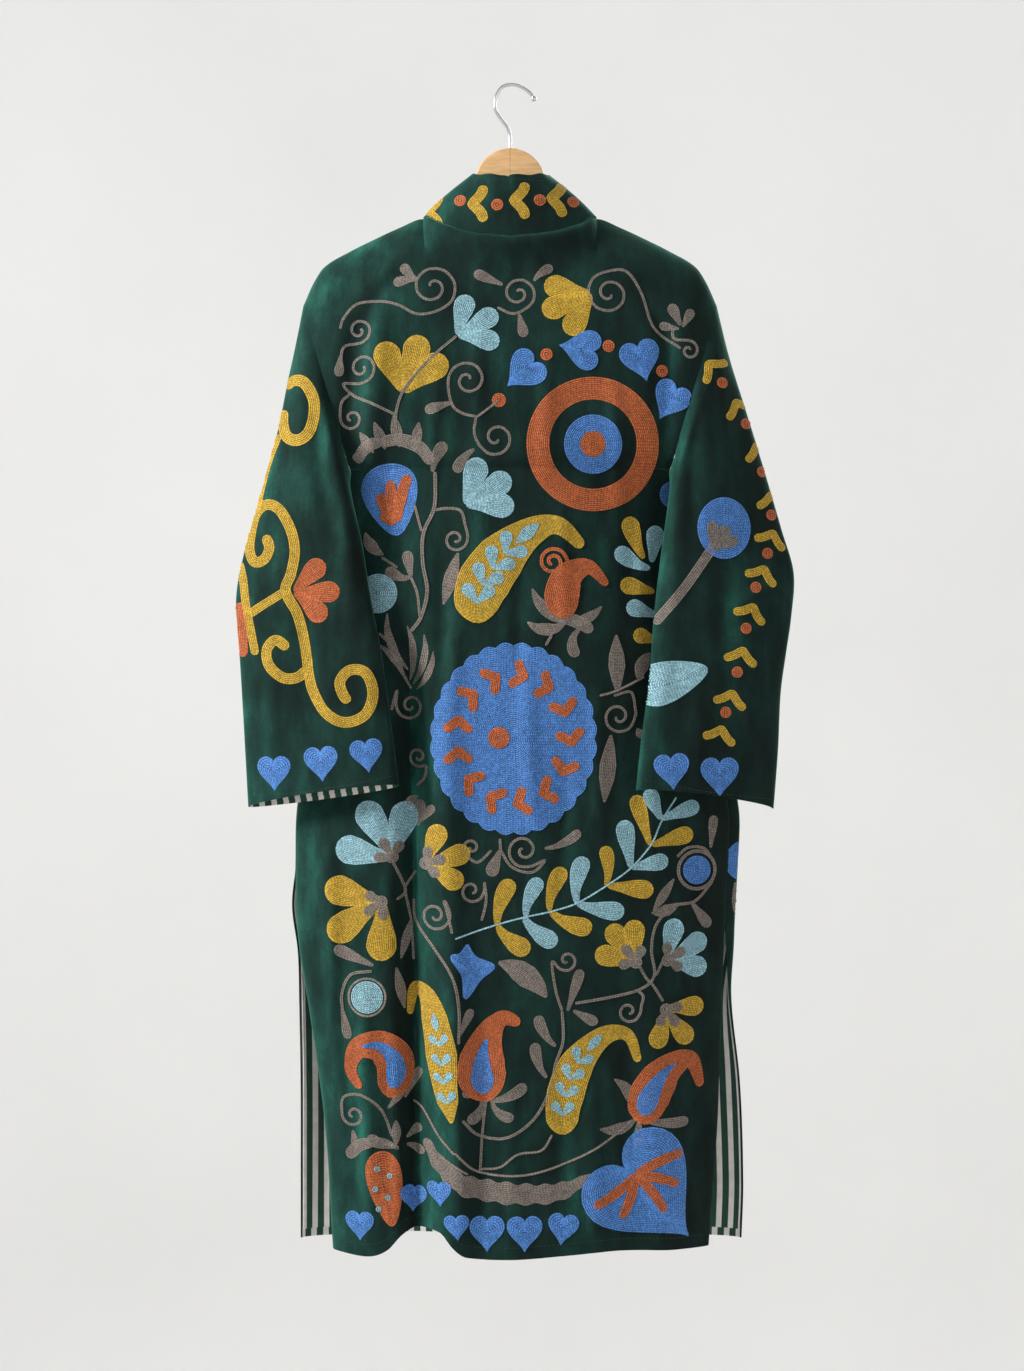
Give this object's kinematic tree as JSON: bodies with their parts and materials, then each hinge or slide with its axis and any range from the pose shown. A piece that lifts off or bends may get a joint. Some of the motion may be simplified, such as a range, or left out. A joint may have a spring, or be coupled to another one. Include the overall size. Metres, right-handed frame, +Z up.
{
  "type": "long velvet jacket on a wooden hanger",
  "caption": "Long embroidered velvet jacket with a stand collar, straight sleeves and side slits, hung flat on a wooden hanger with a steel hook.",
  "frame": {"origin": "inner crown of the hanger's hook, where it rests on a rail or nail", "axes": "+Z up, -Y the back of the jacket, +Y its fronts, -X the wearer's left"},
  "size_m": [0.619, 0.133, 1.3014],
  "materials": {
    "velvet": "dark green cotton velvet with a deep pile",
    "lining": "woven cotton in green and off-white stripes",
    "wood": "clear satin lacquer over pale beech",
    "steel": "polished wire",
    "thread": "chain stitch in yellow, blue, orange and grey cotton yarn"
  },
  "bodies": {
    "root": {"back_panel": "velvet", "front_left": "velvet", "front_right": "velvet", "sleeve_left": "velvet", "sleeve_right": "velvet", "collar": "velvet", "lining_front_left": "lining", "lining_front_right": "lining", "lining_cuff_left": "lining", "lining_cuff_right": "lining", "hanger": "wood", "hook": "steel"}
  },
  "joints": []
}
